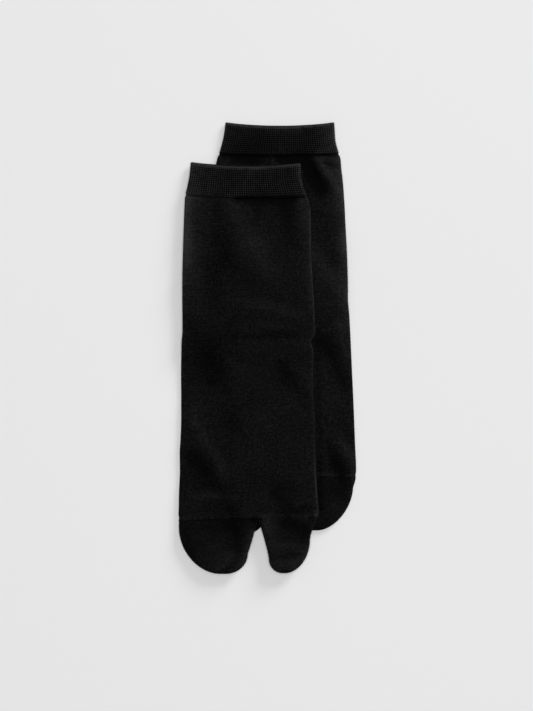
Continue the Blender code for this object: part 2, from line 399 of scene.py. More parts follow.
LEFT = Sock(
    name="left",
    big_side=-1,
    cuff_deep=23.6,
    cuff_tilt=0.0,
    cuff_sag=2.4,
    sag_fades=40.0,
    mouth_sag=0.7,
    rib_contrast=1.05,
    seam_down=265.5,
    outline=(
        Section(0, 44.3, 37.3),
        Section(7, 45.1, 37.8),
        Section(15, 46.7, 38.5),
        Section(21, 48.4, 40.2),
        Section(27, 50.3, 41.9),
        Section(34, 51.8, 42.5),
        Section(43, 52.7, 43.6),
        Section(57, 52.9, 44.7),
        Section(81, 52.9, 45.9),
        Section(104, 52.0, 47.0),
        Section(124, 51.1, 47.5),
        Section(133, 50.4, 47.5),
        Section(143, 50.2, 48.4),
        Section(160, 49.8, 49.4),
        Section(174, 49.5, 50.0),
        Section(208, 48.4, 51.6),
        Section(238, 47.2, 52.8),
        Section(260, 46.9, 53.7),
        Section(SEAM_DOWN, 46.9, 53.6),
    ),
    toes=Pocket(
        left=Side(-5.0, 2.8, 290.5, 18.9),
        right=Side(53.6, 51.4, 272.0, 24.5, 1.0, 1.8),
        tip_down=305.5,
        crown=1.6,
    ),
    big_toe=Pocket(
        left=Side(-46.9, -43.0, 282.0, -27.5),
        right=Side(-5.1, -15.5, 296.2, -26.5),
        tip_down=307.2,
        crown=1.4,
    ),
    creases=(
        Crease(24, 26, 39, 50, 5, 1.0),
        Crease(13, 27, 26, 50, 6, -1.8),
        Crease(-9, 26, -7, 33, 3, 0.5),
        Crease(-32, 27, -22, 29, 5, -0.6),
        Crease(22, 97, 45, 130, 8, 0.9),
        Crease(25, 162, 36, 174, 7, -1.1),
        Crease(36, 174, 46, 200, 4, -0.6),
        Crease(40, 238, 49, 252, 5, 0.8),
        Crease(37, 252, 46, 273, 6, -1.2),
        Crease(30, 274, 42, 280, 6, -0.6),
    ),
    under_creases=(
        Crease(-30, 48, 12, 60, 9, 0.8),
        Crease(20, 88, 40, 76, 6, 0.6),
        Crease(-34, 196, -4, 182, 8, 0.8),
        Crease(-20, 240, 24, 232, 9, 0.9),
    ),
    # Patches of painted light (positive) and painted shade (negative)
    brushed=(
        Brushed(33, 3, 35, 22, 11, 1.0),
        Brushed(-30, 3, 14, 4, 4, 0.4),
        Brushed(-28, 13, 18, 13, 10, -0.3),
        Brushed(-36, 19, -20, 20, 6, -0.6),
        Brushed(15, 26, 27, 50, 7, -1.1),
        Brushed(18, 30, 26, 47, 3.5, -0.4),
        Brushed(-20, 29, 18, 30, 4, -0.3),
        Brushed(-34, 28, -24, 29, 3, -0.4),
        Brushed(42, 228, 50, 236, 4, -0.35),
        Brushed(-4, 28, 6, 29, 3, -0.4),
        Brushed(24, 25, 39, 50, 4, 0.9),
        Brushed(30, 30, 42, 33.5, 2.2, -0.9),
        Brushed(-36, 27, -20, 28, 4, -1.0),
        Brushed(-4, 27, 12, 28, 4, -1.0),
        Brushed(-8, 27, -7, 31, 2, 0.6),
        Brushed(42, 34, 46, 60, 6, 0.9),
        Brushed(40, 60, 46, 92, 8, 0.5),
        Brushed(22, 98, 44, 130, 6, 0.5),
        Brushed(45, 88, 48.5, 148, 6.5, 0.85),
        Brushed(36, 136, 46, 142, 6, 0.3),
        Brushed(36, 74, 38, 96, 5, -0.2),
        Brushed(26, 163, 35, 173, 6, -0.5),
        Brushed(35, 173, 46, 200, 3, -0.4),
        Brushed(40, 150, 48, 174, 4, 0.6),
        Brushed(43, 240, 50, 253, 3.5, 0.5),
        Brushed(38, 253, 45, 270, 5, -0.7),
        Brushed(33, 240, 38, 256, 4.5, -0.5),
        Brushed(24.6, 158, 26.4, 290, 2.8, -0.5),
        Brushed(26.2, 255, 27.2, 290, 2, -0.5),
        Brushed(52, 246, 50.5, 280, 2.0, 0.7),
        Brushed(24, 24.2, 38, 23.6, 1.8, -0.7),
        Brushed(-24, 299, -18, 302, 4, -1.0),
        Brushed(22, 264, 36, 264.5, 1.3, 0.6),
        Brushed(30, 270, 40, 278, 6, -0.3),
    ),
    # Painted highlights along the left and right folds: a band and a fine line
    edges=(
        Edges(0, 0.1, 0.3, 1.5, 1.4),
        Edges(25, 0.1, 0.3, 1.2, 1.2),
        Edges(60, 0.1, 0.3, 1.0, 1.2),
        Edges(100, 0.1, 0.3, 0.9, 1.0),
        Edges(150, 0.1, 0.3, 0.5, 0.8),
        Edges(200, 0.1, 0.3, 0.3, 0.6),
        Edges(262, 0.1, 0.3, 0.2, 0.7),
        Edges(300, 0.1, 0.3, 0.3, 1.2),
    ),
)
HEEL = Pocket(Side(-44.0, -37.0, 116.0, -12.0), Side(44.0, 37.0, 116.0, 12.0), HEEL_TIP, 0.0)
UPPER_BESIDE_LOWER = (
    Beside(0, 1.8, 0.8),
    Beside(28, 3.8, 0.4),
    Beside(60, 3.8, 0.4),
    Beside(92, 2.0, 0.4),
    Beside(120, 0.6, 0.3),
    Beside(150, 0.2, 0.2),
    Beside(235, 0.2, 0.2),
    Beside(268, 0.8, 0.6),
    Beside(310, 3.0, 3.0),
)


def ease(share):
    """0 below 0, 1 above 1, and between them the S curve 3s^2 - 2s^3."""
    share = np.clip(share, 0.0, 1.0)
    return share * share * (3.0 - 2.0 * share)


def along(rows, column, down):
    """A smooth curve through one column of a table: cubic Hermite pieces that share their slope at a row."""
    down = np.asarray(down, float)
    at = np.array([row.down for row in rows], float)
    value = np.array([getattr(row, column) for row in rows], float)
    slope = np.gradient(value, at)
    i = np.clip(np.searchsorted(at, down) - 1, 0, len(at) - 2)
    step = at[i + 1] - at[i]
    t = np.clip((down - at[i]) / step, 0.0, 1.0)
    level = value[i] * (1 + 2 * t) * (1 - t) ** 2 + value[i + 1] * t * t * (3 - 2 * t)
    return level + step * (slope[i] * t * (1 - t) ** 2 - slope[i + 1] * t * t * (1 - t))


def place_of(sock):
    """The sock's axis (x) and the top of its cuff (y), from the box of the cuff in the frame."""
    low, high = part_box(f"{sock.name}_cuff")
    return low[0] / MM + along(sock.outline, "left", CAD_CUFF_DEEP), high[1] / MM


PLACES = {sock.name: place_of(sock) for sock in (LEFT, RIGHT)}


def to_sock(sock, x, y):
    """A place in the sock's own measures, across and down."""
    axis, cuff_top = PLACES[sock.name]
    return x - axis, cuff_top - y


def heel_lift(down):
    """A plateau as high as the folded heel, sloping off at both ends."""
    toward_cuff = ease((down - HEEL_TIP + HEEL_REACH + HEEL_SLOPE) / HEEL_SLOPE)
    toward_toe = ease((HEEL_BASE + HEEL_REACH + HEEL_SLOPE - down) / HEEL_SLOPE)
    return (HEEL_THICK + LIE_GAP) * toward_cuff * toward_toe


def thickness(share, down, edge):
    """Both layers of the flattened tube, thinnest at the side folds: edge + crown (1 - share^4)."""
    crown = along(PUFFS, "crown", down)
    return edge + crown * (1 - np.clip(np.abs(share), 0, 1) ** 4)


def lower_surface(x, y):
    """What the left sock gives to lie on: the height of its upper face, and two shares from 0 to 1, for how
    far in from its left edge a point is and how far short of its toes."""
    across, down = to_sock(LEFT, x, y)
    left, right = along(LEFT.outline, "left", down), along(LEFT.outline, "right", down)
    inside = across + left
    share = (across - (right - left) / 2) / ((right + left) / 2)
    top = thickness(np.clip(share, -1, 1), down, KNIT_EDGE) + heel_lift(down) + LIE_GAP
    side = ease((inside + STEP_OUT) / (STEP_OUT + STEP_IN))
    short_of_toes = ease((LEFT.toes.tip_down + PAST_TOES - down) / PAST_TOES_LONG)
    return top, side, short_of_toes


def ground(sock, x, y):
    """Height of what a sock lies on: the floor, or for the right sock the left one and then nearly the floor.
    Beside the left one it rises from trough to edge as the 1.5th power of the way across, and past the left
    one's toes it goes over to a shelf that rises a little."""
    if sock is LEFT:
        return np.zeros_like(x)
    across, down = to_sock(sock, x, y)
    top, side, short_of_toes = lower_surface(x, y)
    beyond = np.clip((-across - BESIDE_FROM) / BESIDE_WIDE, 0.0, 1.0) ** 1.5
    edge = along(UPPER_BESIDE_LOWER, "edge", down)
    trough = along(UPPER_BESIDE_LOWER, "trough", down)
    beside = np.maximum(trough + (edge - trough) * beyond, 0.0)
    shelf = TOE_FLOOR + TOE_FLOOR_RISE * ease((down - TOE_FLOOR_FROM) / TOE_FLOOR_LONG)
    over = shelf + (top - shelf) * short_of_toes
    return beside + (over - beside) * side


def near_line(row, across, down):
    """exp(-(distance / wide)^2) from the row's line, and how far along it the nearest point is, 0 to 1."""
    run = np.array([row.to_across - row.across, row.to_down - row.down])
    t = ((across - row.across) * run[0] + (down - row.down) * run[1]) / max(run @ run, 1e-6)
    near = np.clip(t, 0.0, 1.0)
    away = (across - row.across - near * run[0]) ** 2 + (down - row.down - near * run[1]) ** 2
    return np.exp(-away / row.wide**2), near


def creases(table, across, down):
    """Soft ridges and troughs: each is a Gaussian of the distance to a line, and swells in a sine arch from
    the line's ends to its middle."""
    height = np.zeros_like(across)
    for row in table:
        close, near = near_line(row, across, down)
        height += row.high * (CREASE_ENDS + (1 - CREASE_ENDS) * np.sin(np.pi * near)) * close
    return height


def brushed(sock, across, down):
    """Painted light and shade: soft patches, each a Gaussian of the distance to a line."""
    tone = np.zeros_like(across)
    for row in sock.brushed:
        tone += row.light * near_line(row, across, down)[0]
    return tone


def fold_highlight(sock, share, half, down):
    """Painted highlights along the folded sides, in a band and in a fine line: Gaussians of the distance to
    the fold.
    """
    tone = 0.0
    for side, from_edge in (("left", (1 + share) * half), ("right", (1 - share) * half)):
        tone = tone + along(sock.edges, side + "_band", down) * np.exp(-((from_edge / HIGHLIGHT_BAND) ** 2))
        tone = tone + along(sock.edges, side + "_line", down) * np.exp(-((from_edge / HIGHLIGHT_LINE) ** 2))
    return tone


def unevenness(seed, across, down):
    """The cloth's own waviness: a sum of sine waves whose lengths and directions a seeded generator picks."""
    pick = np.random.default_rng(seed)
    height = np.zeros_like(across)
    for length in UNEVEN_LENGTHS:
        turn, phase = pick.uniform(0, np.pi), pick.uniform(0, 2 * np.pi)
        wave = (across * np.cos(turn) + down * np.sin(turn)) / length
        height += UNEVEN_HIGH * length**UNEVEN_POWER * np.sin(2 * np.pi * wave + phase)
    return height


def seam_rise(sock, across):
    """How far the toe seam lies above its place: it leans towards the big toe and arches in the middle."""
    share = across / SEAM_HALF_WIDTH
    return SEAM_LEAN * sock.big_side * share + SEAM_ARCH * (1 - share**2)


def ring_turn(face_steps, fold_steps):
    """One turn round a flattened ring: flat (-1 to 1 across a face), out (into a side fold) and up."""
    across = np.linspace(-1.0, 1.0, face_steps + 1)
    turn = np.linspace(0.0, np.pi, fold_steps + 1)[1:-1]
    top = np.column_stack([across, np.zeros_like(across), np.ones_like(across)])
    right = np.column_stack([np.ones_like(turn), np.sin(turn), np.cos(turn)])
    return np.concatenate([top, right, top * (-1, 1, -1), right * (-1, -1, -1)]).T


def even_turn(count, face_share):
    """The same turn in count even steps round the ring, where a face takes face_share of half a turn."""
    at = (np.arange(count) / count + face_share / 4) % 1.0 * 2
    half, within = np.floor(at), at % 1.0
    flip = 1 - 2 * half
    on_face = within < face_share
    flat = np.where(on_face, within / face_share * 2 - 1, 1.0)
    turn = np.where(on_face, 0.0, (within - face_share) / (1 - face_share) * np.pi)
    return np.array([flat * flip, np.sin(turn) * flip, np.cos(turn) * flip])


def upper_relief(sock, across, down):
    """The creases and the unevenness of the face that shows."""
    return creases(sock.creases, across, down) + unevenness(UPPER_SEED + sock.big_side, across, down)


def under_relief(sock, across, down):
    """Soft hollows in the side that lies on something. They only go up, so the cloth stays clear of it."""
    dents = creases(sock.under_creases, across, down)
    return np.clip(dents + unevenness(UNDER_SEED + sock.big_side, across, down), 0.0, UNDER_MOST)


def relief_of(sock, across, lies, up):
    """The upper face's relief going over to the underside's round the folds, as up goes from 1 to -1."""
    toward_top = ease((1 + up) / 2)
    return upper_relief(sock, across, lies) * toward_top + under_relief(sock, across, lies) * (1 - toward_top)


def tone_of(sock, relief, across, lies, up, share, half):
    """How light the cloth is painted for its place: painted light on the ridges and painted shade in the
    troughs of its relief, painted patches of light and shade, and painted highlights at its side folds.
    """
    tone = relief * RELIEF_SHADE + brushed(sock, across, lies) * ease((1 + up) / 2)
    return tone + fold_highlight(sock, share, half, lies)


def tube_points(sock, down, inset, turn, edge, hollow=0.0):
    """Rings of the flattened tube at each value of down, inset by as much from its outer face:
    x = middle + flat (half - fold) + out fold, z = under + inset + (thickness - 2 inset)(1 + up) / 2.
    The rings bow down towards their middle near the cuff. hollow lowers the face, as at a seam.
    Returns the points and their tone."""
    flat, out, up = turn[:, None, :]
    down, inset, hollow = (np.broadcast_to(value, down.shape)[:, None] for value in (down, inset, hollow))
    left, right = along(sock.outline, "left", down), along(sock.outline, "right", down)
    half = (left + right) / 2 - inset - hollow / 2
    fold = edge / 2 - inset - hollow / 2
    reach = flat * (half - fold) + out * fold
    share = np.clip(reach / half, -1, 1)
    across = (right - left) / 2 + reach
    near_cuff, near_mouth = ease(1 - down / sock.sag_fades), ease(1 - down / MOUTH_FADES)
    bow = sock.cuff_sag * near_cuff + sock.mouth_sag * near_mouth * (1 + up) / 2
    bow = bow * (1 - share**2) + sock.cuff_tilt * near_cuff * across / SEAM_HALF_WIDTH
    lies = down + bow - seam_rise(sock, across) * ease((down - SEAM_DOWN + SEAM_FADES) / SEAM_FADES)
    axis, cuff_top = PLACES[sock.name]
    x, y = axis + across, cuff_top - lies
    thick = thickness(share, lies, edge)
    relief = relief_of(sock, across, lies, up)
    z = tube_ground(sock, x, y) + inset + hollow / 2 + (thick - 2 * inset - hollow) * (1 + up) / 2 + relief
    return np.stack([x, y, z], axis=-1), tone_of(sock, relief, across, lies, up, share, half)


def side_at(side, down, root_down, tip_down, inset):
    """Where a pocket's side is: the power curve taper from its root to its turn, then a quarter superellipse
    of power fullness to its tip."""
    inward = np.sign(side.tip - side.turn) * inset
    round_length = abs(tip_down - side.turn_down)
    past = (down - side.turn_down) / (tip_down - side.turn_down)
    to_root = np.clip((down - side.turn_down) / (root_down - side.turn_down), 0, 1)
    straight = side.turn + (side.root - side.turn) * to_root**side.taper + inward
    past = np.clip(past * round_length / (round_length - inset), 0, 1)
    rounded = side.tip + (side.turn + inward - side.tip) * (1 - past**side.fullness) ** (1 / side.fullness)
    return np.where(past > 0, rounded, straight)


def pocket_points(sock, shape, root_down, kind, share_down, inset, turn, hollow=0.0):
    """A pocket from its open root to its closed, rounded tip. share_down is 0 at the root and 1 at the tip,
    where the thickness closes as a quarter circle. Over root_round the underside curves up to the root in a
    quarter ellipse. The crown goes as 1 - share^4 across and 1 - share_down^8 down.
    Returns the points and their tone."""
    flat, out, up = turn[:, None, :]
    share_down, hollow = (np.broadcast_to(value, share_down.shape)[:, None] for value in (share_down, hollow))
    toward_tip = np.sign(shape.tip_down - root_down)
    tip_down = shape.tip_down - toward_tip * inset
    down = root_down + (tip_down - root_down) * share_down
    from_tip = np.abs(tip_down - down)
    left = side_at(shape.left, down, root_down, shape.tip_down, inset) + hollow / 2
    right = side_at(shape.right, down, root_down, shape.tip_down, inset) - hollow / 2
    half = np.maximum((right - left) / 2, 1e-6)
    close = np.sqrt(np.clip(1 - (1 - np.clip(from_tip / (kind.edge * TIP_ROUND), 0, 1)) ** 2, 0, 1))
    fold = np.minimum(kind.edge / 2 - inset - hollow / 2, half) * close
    reach = flat * (half - fold) + out * fold
    share = np.clip(reach / half, -1, 1)
    across = (left + right) / 2 + reach
    lies = down - kind.on_seam * seam_rise(sock, across) * (1 - share_down) ** 2
    axis, cuff_top = PLACES[sock.name]
    x, y = axis + across, cuff_top - lies
    swell = shape.crown * (1 - share**4) * (1 - share_down**8)
    relief = relief_of(sock, across, lies, up) * close
    thick = (kind.edge + swell - 2 * inset - hollow) * close
    from_root = np.clip(np.abs(down - root_down) / max(kind.root_round, 1e-6), 0, 1)
    rise = ROOT_RISE * (1 - np.sqrt(1 - (1 - from_root) ** 2)) * (kind.root_round > 0)
    rests = kind.rests_on(sock, x, y) + kind.edge / 2 * (1 - close)
    z = rests + (inset + hollow / 2) * close + thick * rise + thick * (1 - rise) * (1 + up) / 2 + relief
    return np.stack([x, y, z], axis=-1), tone_of(sock, relief, across, lies, up, share, half)


def tube_ground(sock, x, y):
    """Height of what the tube lies on: what the sock lies on, and its own folded heel."""
    return ground(sock, x, y) + heel_lift(to_sock(sock, x, y)[1])


def normals_of(points):
    """Unit outward normals of rings joined in a loop both ways: the cross product of central differences."""
    between_rings = np.roll(points, 1, 0) - np.roll(points, -1, 0)
    round_ring = np.roll(points, -1, 1) - np.roll(points, 1, 1)
    normal = np.cross(between_rings, round_ring)
    return normal / np.maximum(np.linalg.norm(normal, axis=-1, keepdims=True), 1e-9)


def piece_from_rings(name, rings, courses, wales, painted_shading, finish, tip_after=None, fuzz=1.0):
    """One closed wall of cloth: rings closed on themselves, each joined to the next, the last to the first.
    No faces follow ring tip_after, because both skins already end there. courses and wales are the knit's
    own counts down and round, for the UV map. The tone given for each point is painted light and shade, and
    fuzz is how uneven its colour is."""
    count, size = rings.shape[:2]
    index = np.arange(count * size).reshape(count, size)
    below, beside = np.roll(index, -1, 0), np.roll(index, -1, 1)
    quads = np.stack([index, below, np.roll(below, -1, 1), beside], axis=-1)
    row, column = np.meshgrid(courses, wales, indexing="ij")
    first, second = row[:, :-1], np.roll(row, -1, 0)[:, :-1]
    start, end = column[:, :-1], column[:, 1:]
    corners = ((start, first), (start, second), (end, second), (end, first))
    uv = np.stack([np.stack(corner, axis=-1) for corner in corners], axis=2)
    if tip_after is not None:
        quads, uv = np.delete(quads, tip_after, 0), np.delete(uv, tip_after, 0)
    mesh = bpy.data.meshes.new(name)
    mesh.from_pydata((rings.reshape(-1, 3) * MM).tolist(), [], quads.reshape(-1, 4).tolist())
    mesh.uv_layers.new(name="knit").data.foreach_set("uv", uv.astype(np.float32).reshape(-1))
    for attribute, values in (("painted_shading", painted_shading), ("fuzz", np.full((count, size), fuzz))):
        layer = mesh.attributes.new(attribute, "FLOAT", "POINT")
        layer.data.foreach_set("value", values.astype(np.float32).reshape(-1))
    shape = bmesh.new()
    shape.from_mesh(mesh)
    bmesh.ops.remove_doubles(shape, verts=shape.verts, dist=2e-6)
    bmesh.ops.recalc_face_normals(shape, faces=shape.faces)
    shape.to_mesh(mesh)
    shape.free()
    mesh.shade_smooth()
    mesh.materials.append(finish)
    piece = bpy.data.objects.new(name, mesh)
    bpy.context.scene.collection.objects.link(piece)
    return piece


def declare(piece, node):
    """What the piece moves with, and the part it replaces."""
    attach(piece, "root")
    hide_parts(node)


def cuff(sock, finish):
    """The doubled cuff. Its wall's section goes up the outer face, over the rim in a half circle, down the
    inner face and back in a half circle. Ribs and rows stand out from the outer face and over the rim:
    height = rib^0.8 (0.15 + 0.85 bead), with rib half of 1 + cos round the cuff and bead half of 1 - cos
    along the wall. The underside's ribs only go inwards, so that they don't touch what is below."""
    ply, deep = CUFF_PLY / 2, sock.cuff_deep
    up_face = np.linspace(deep - ply, ply, 88)
    bend = np.linspace(0, np.pi, 9)[1:-1]
    down_face = np.linspace(ply, deep - ply, 10)
    cos, sin = ply * np.cos(bend), ply * np.sin(bend)
    down = np.concatenate([up_face, ply - sin, down_face, deep - ply + sin])
    inset = np.concatenate([up_face * 0, ply - cos, down_face * 0 + 2 * ply, ply + cos])
    turn = even_turn(RIBS_ROUND * POINTS_A_RIB, CUFF_FACE_SHARE)
    points, tone = tube_points(sock, down, inset, turn, CUFF_EDGE)
    outer = ease((1.4 * ply - inset) / (0.8 * ply))[:, None]
    walk = np.concatenate([[0], np.cumsum(np.hypot(np.diff(down), np.diff(inset)))])
    rows = walk / ROW_LONG
    ribs = np.arange(turn.shape[1] + 1) / POINTS_A_RIB
    rib = 0.5 + 0.5 * np.cos(2 * np.pi * ribs[None, :-1])
    bead = (0.5 - 0.5 * np.cos(2 * np.pi * rows))[:, None]
    knit = rib**RIB_POWER * (RIB_BETWEEN_ROWS + (1 - RIB_BETWEEN_ROWS) * bead)
    under = ease((1 - turn[2]) / 2)[None, :]
    points = points + normals_of(points) * (RIB_PROUD * outer * (knit - 0.5 - 0.5 * under))[..., None]
    # The folded rim gets a painted highlight
    rim = np.exp(-(((down + inset - RIM_DOWN) / RIM_WIDE) ** 2)) * (inset < ply * 1.6)
    # Painted light and shade of the ribs: rib tops painted paler and the hollows between them darker
    painted_shading = tone + outer * sock.rib_contrast * (RIB_SHADE_TONE * knit - RIB_SHADE_LESS) + RIM_HIGHLIGHT * rim[:, None]
    piece = piece_from_rings(f"{sock.name}_rib_cuff", points, rows, ribs, painted_shading, finish)
    declare(piece, f"{sock.name}_cuff")


def leg_and_foot(sock, finish):
    """The plain-knit tube, from inside the cuff's lower edge to the toe seam. Its face sinks into both seams,
    and swells in a Gaussian bead before the toe seam. Its rings are closest at its ends."""
    top, bottom = sock.cuff_deep - TUCK_IN_CUFF, sock.seam_down + TUCK_IN_SEAM
    near_top, middle, near_bottom = (top, top + 7, 15), (top + 7, bottom - 5, 240), (bottom - 5, bottom, 12)
    outer = np.concatenate([np.linspace(*near_top), np.linspace(*middle)[1:], np.linspace(*near_bottom)[1:]])
    inner = np.linspace(bottom, top, 14)
    down = np.concatenate([outer, inner])
    inset = np.concatenate([outer * 0, inner * 0 + KNIT_PLY])
    groove = CUFF_GROOVE.deep * ease(1 - (down - top) / CUFF_GROOVE.long)
    groove = groove + SEAM_GROOVE.deep * ease(1 - (bottom - down) / SEAM_GROOVE.long)
    groove = np.where(inset > 0, 0, groove)
    turn = ring_turn(98, 12)
    points, tone = tube_points(sock, down, inset, turn, KNIT_EDGE, groove)
    bead = SEAM_BEAD * np.exp(-(((bottom - SEAM_BEAD_UP - down) / SEAM_BEAD_WIDE) ** 2))
    bead = np.where(inset > 0, 0, bead)[:, None]
    points = points + normals_of(points) * bead[..., None]
    wales = np.linspace(0, WALES_ROUND, turn.shape[1] + 1)
    # Painted shade in the seam grooves and a painted highlight on the seam bead
    painted_shading = tone - GROOVE_SHADE * groove[:, None] + SEAM_BEAD_HIGHLIGHT * bead
    piece = piece_from_rings(f"{sock.name}_plain_leg_foot", points, down / COURSE_LONG, wales, painted_shading, finish)
    declare(piece, f"{sock.name}_leg_foot")


TOE_KIND = Kind(True, KNIT_EDGE, KNIT_PLY, tube_ground, 0.0, Groove(0.7, 4.0), (50, 12), "laid")
HEEL_KIND = Kind(False, HEEL_THICK, HEEL_PLY, ground, 6.0, Groove(0.3, 4.0), (88, 8), "folded")
TOES_CUT = Cut(100, 0.116, 0.0385, 0.0036)
BIG_TOE_CUT = Cut(74, 0.088, 0.0392, 0.0026)
HEEL_CUT = Cut(140, 0.176, 0.034, 0.0048)


def pocket(sock, part, shape, root_down, kind, cut, finish):
    """A pocket of plain knit: an outer and an inner skin, whose rings are closest at its tip."""
    turn = ring_turn(*kind.steps_round)
    steps = np.sin(np.linspace(0, np.pi / 2, 46))
    inner_steps = np.sin(np.linspace(np.pi / 2, 0, 14))
    long = abs(shape.tip_down - root_down)
    groove = kind.groove.deep * ease(1 - steps * long / kind.groove.long)
    outer, tone = pocket_points(sock, shape, root_down, kind, steps, 0.0, turn, groove)
    inner, inner_tone = pocket_points(sock, shape, root_down, kind, inner_steps, kind.ply, turn)
    points = np.concatenate([outer, inner])
    # Painted shade in the pocket's seam groove
    painted_shading = np.concatenate([tone - POCKET_GROOVE_SHADE * groove[:, None], inner_tone]) + POCKET_TONE
    courses = (root_down + np.concatenate([steps, inner_steps]) * long) / COURSE_LONG
    wales = np.linspace(0, cut.wales, turn.shape[1] + 1)
    name = f"{sock.name}_plain_{part}"
    piece = piece_from_rings(name, points, courses, wales, painted_shading, finish, len(steps) - 1, POCKET_FUZZ)
    node = f"{sock.name}_{part}"
    declare(piece, node)


class Wire:
    """One value of a material. Arithmetic on it adds Math nodes to that material."""

    def __init__(self, finish, socket):
        self.finish, self.socket = finish, socket

    def maths(self, operation, *values):
        return self.finish.node("ShaderNodeMath", {"operation": operation}, dict(enumerate(values)))

    def __add__(self, other):
        return self.maths("ADD", self, other)

    def __sub__(self, other):
        return self.maths("SUBTRACT", self, other)

    def __rsub__(self, other):
        return self.maths("SUBTRACT", other, self)

    def __mul__(self, other):
        return self.maths("MULTIPLY", self, other)

    __radd__, __rmul__ = __add__, __mul__

    def size(self):
        return self.maths("ABSOLUTE", self)

    def fraction(self):
        return self.maths("FRACT", self)

    def wave(self):
        """A cosine that repeats with every whole number."""
        return self.maths("COSINE", self * (2 * np.pi))

    def clamped(self):
        return self.maths("MINIMUM", self.maths("MAXIMUM", self, 0.0), 1.0)


class Finish:
    """A material in the making. node() adds one node: its settings, then the values or links of sockets."""

    def __init__(self, name, **constants):
        self.material = bpy.data.materials.new(name)
        self.material.use_nodes = True
        self.tree = self.material.node_tree
        self.shader = self.tree.nodes["Principled BSDF"]
        for socket, value in constants.items():
            self.shader.inputs[socket.replace("_", " ")].default_value = value

    def fill(self, socket, value):
        if isinstance(value, Wire):
            self.tree.links.new(value.socket, socket)
        else:
            socket.default_value = value

    def node(self, kind, settings, sockets, output=0):
        node = self.tree.nodes.new(kind)
        for name, value in settings.items():
            setattr(node, name, value)
        for name, value in sockets.items():
            self.fill(node.inputs[name], value)
        return Wire(self, node.outputs[output])

    def set(self, socket, value):
        self.fill(self.shader.inputs[socket], value)

    def place(self):
        return self.node("ShaderNodeTexCoord", {}, {}, "Object")

    def noise(self, millimetres, detail=2.0, roughness=0.5, stretch=(1.0, 1.0, 1.0)):
        """Noise whose patches are about this long, and longer where stretch is under 1."""
        place = self.node("ShaderNodeVectorMath", {"operation": "MULTIPLY"}, {0: self.place(), 1: stretch})
        scale = 1.0 / (millimetres * MM)
        sockets = {"Vector": place, "Scale": scale, "Detail": detail, "Roughness": roughness}
        return self.node("ShaderNodeTexNoise", {}, sockets, "Fac") - 0.5

    def knit_uv(self):
        """The knit's own counts, round and down."""
        uv = {"Vector": self.node("ShaderNodeUVMap", {"uv_map": "knit"}, {})}
        return tuple(self.node("ShaderNodeSeparateXYZ", {}, uv, axis) for axis in ("X", "Y"))

    def of_mesh(self, attribute):
        return self.node("ShaderNodeAttribute", {"attribute_name": attribute}, {}, "Fac")

    def cloth_colour(self, light, dark, pale):
        """From dark to pale as the square of light, so that even steps of light look even."""
        light = light.maths("MAXIMUM", light, 0.0)
        return self.blend(light * light, (*dark, 1), (*pale, 1))

    def blend(self, share, dark, light):
        sockets = {"Factor": share, 6: dark, 7: light}
        return self.node("ShaderNodeMix", {"data_type": "RGBA", "clamp_factor": True}, sockets, 2)


def mixed(mix, **parts):
    """The parts added up, each as much as the mix says."""
    return sum(part * mix[name] for name, part in parts.items())


def stitch_height(wale, course):
    """A V in each stitch: a = distance from the wale's middle, b = place in the course, sloping with a, and
    height = (1 - (4a - 1)^2)(1 - 0.7 (2b)^2)."""
    a = ((wale.fraction() - 0.5).size()) * 4 - 1
    b = ((course + a * 0.2).fraction() - 0.5) * 2
    return (1 - a * a) * (1 - b * b * 0.7)


def plain_knit():
    """Fine stitches in black yarn, with lint, thick and thin yarn, streaks round the sock, and wales and
    courses that are tighter here and there. The stitches get painted shade in their gaps, and below every
    rib of the cuff small gathers are painted in as shade that fades within a few courses."""
    finish = Finish("black_plain_knit", **CLOTH)
    wale, course = finish.knit_uv()
    stitch = stitch_height(wale, course)
    yarn = finish.noise(1.7, detail=2.0, roughness=0.5)
    lint = finish.noise(0.95, detail=3.0, roughness=0.6)
    streaks = finish.noise(3.6, detail=2.0, roughness=0.6, stretch=(0.45, 1.0, 1.0))
    wales = finish.noise(5.0, detail=2.0, roughness=0.6) * (wale * 0.5).wave()
    courses = finish.noise(4.5, detail=2.0, roughness=0.6, stretch=(0.6, 1.0, 1.0)) * (course * 0.42).wave()
    uneven = mixed(
        PLAIN_MIX, streaks=streaks, lint=lint, yarn=yarn, stitch=stitch - 0.5, wales=wales, courses=courses
    )
    ribs = wale * (RIBS_ROUND / WALES_ROUND)
    gather_shade = (1 - (course - GATHERS_FROM) * GATHERS_FADE).clamped() * (ribs.fraction() - 0.5).size()
    # The mesh's painted light and shade, then the yarn's own unevenness, less the painted shade of the
    # gathers
    light = finish.of_mesh("painted_shading") * LEVEL + uneven * finish.of_mesh("fuzz") - gather_shade * GATHER_SHADE
    finish.set("Base Color", finish.cloth_colour(light + PLAIN_LIGHT, PLAIN_DARK, PLAIN_PALE))
    finish.set("Roughness", 0.58 + streaks * 0.1 + stitch * 0.05)
    height = mixed(PLAIN_BUMP, stitch=stitch, lint=lint, streaks=streaks)
    bump = {"Height": height, "Strength": 0.55, "Distance": 0.22 * MM}
    finish.set("Normal", finish.node("ShaderNodeBump", {}, bump))
    return finish.material


